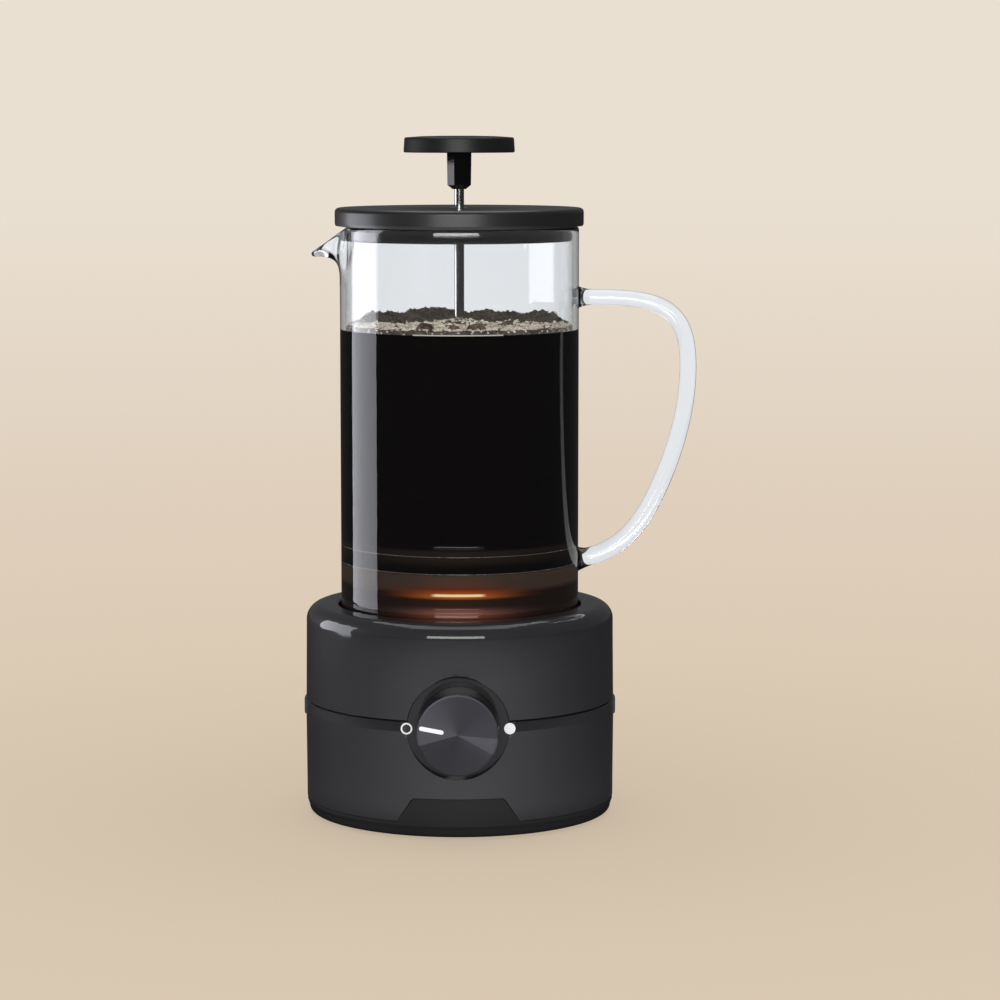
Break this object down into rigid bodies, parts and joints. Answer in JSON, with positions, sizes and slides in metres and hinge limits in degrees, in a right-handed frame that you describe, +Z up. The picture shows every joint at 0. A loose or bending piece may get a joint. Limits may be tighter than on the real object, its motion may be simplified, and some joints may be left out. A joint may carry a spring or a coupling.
{
  "type": "cold brew coffee maker",
  "caption": "Glass plunger carafe with handle, spout and lid on a round dark motor base with a timer dial and a magnetic stirrer.",
  "frame": {"origin": "on the carafe's axis, at the centre of the base's underside, with the feet's soles at Z = 0", "axes": "+Z up along the carafe's axis, -Y towards the front with the timer dial, +X towards the glass handle"},
  "size_m": [0.1651, 0.1462, 0.2851],
  "materials": {
    "housing_plastic": "satin",
    "skirt_plastic": "satin",
    "lid_plastic": "satin",
    "dial_plastic": "satin",
    "dial_metal": "satin",
    "white_print": "gloss",
    "polished_steel": "satin",
    "zinc_steel": "satin",
    "clear_glass": "gloss",
    "black_rubber": "matte",
    "grey_silicone": "matte",
    "bearing_bronze": "satin",
    "rotor_copper": "satin",
    "white_plastic": "satin",
    "magnet_nickel": "polished",
    "board_green": "satin",
    "board_blue": "satin",
    "lead_red": "satin"
  },
  "bodies": {
    "base": {"upper_housing": "housing_plastic", "lower_housing": "housing_plastic", "base_skirt": "skirt_plastic", "base_feet": "black_rubber", "carafe_pad": "grey_silicone", "housing_screws": "zinc_steel", "skirt_screws": "zinc_steel", "motor_can": "zinc_steel", "motor_end_cap": "white_plastic", "motor_bearings": "bearing_bronze", "motor_plate": "zinc_steel", "motor_screws": "zinc_steel", "timer_body": "white_plastic", "timer_nut": "zinc_steel", "circuit_board": "board_green", "board_parts": "board_blue", "board_screws": "zinc_steel", "cord_gland": "black_rubber", "wire_leads": "lead_red", "off_mark": "white_print", "on_mark": "white_print"},
    "dial": {"timer_dial": "dial_plastic", "dial_face": "dial_metal", "dial_pointer": "white_print", "timer_shaft": "zinc_steel"},
    "drive": {"motor_rotor": "rotor_copper", "motor_shaft": "polished_steel", "magnet_holder": "white_plastic", "drive_magnets": "magnet_nickel"},
    "carafe": {"carafe_glass": "clear_glass", "glass_handle": "clear_glass", "fill_line": "white_print"},
    "stirrer_body": {"stirrer": "white_plastic", "stirrer_magnets": "magnet_nickel"},
    "lid": {"lid_cap": "lid_plastic", "lid_skirt": "lid_plastic", "lid_seal": "grey_silicone", "rod_bush": "white_plastic"},
    "plunger": {"plunger_knob": "lid_plastic", "knob_stem": "lid_plastic", "plunger_rod": "polished_steel", "filter_dome": "polished_steel", "rim_spring": "polished_steel", "mesh_screen": "polished_steel", "cross_plate": "polished_steel", "hub_nut": "polished_steel"}
  },
  "joints": [
    {"name": "dial_turn", "type": "hinge", "parent": "base", "child": "dial", "pos_m": [0, -0.07, 0.0463], "axis": [0, 1, 0], "range_deg": [0, 158]},
    {"name": "drive_spin", "type": "hinge", "parent": "base", "child": "drive", "pos_m": [0, 0, 0.05], "axis": [0, 0, 1], "continuous": true},
    {"name": "carafe_lift", "type": "slide", "parent": "base", "child": "carafe", "axis": [0, 0, 1], "range_m": [0, 0.08]},
    {"name": "stirrer_spin", "type": "hinge", "parent": "carafe", "child": "stirrer_body", "pos_m": [0, 0, 0.085], "axis": [0, 0, 1], "continuous": true},
    {"name": "lid_lift", "type": "slide", "parent": "carafe", "child": "lid", "axis": [0, 0, 1], "range_m": [0, 0.16]},
    {"name": "plunger_slide", "type": "slide", "parent": "lid", "child": "plunger", "axis": [0, 0, 1], "range_m": [-0.007, 0.12]}
  ],
  "couplings": [
    {"joint": "stirrer_spin", "follows": "drive_spin", "ratio": 1}
  ]
}
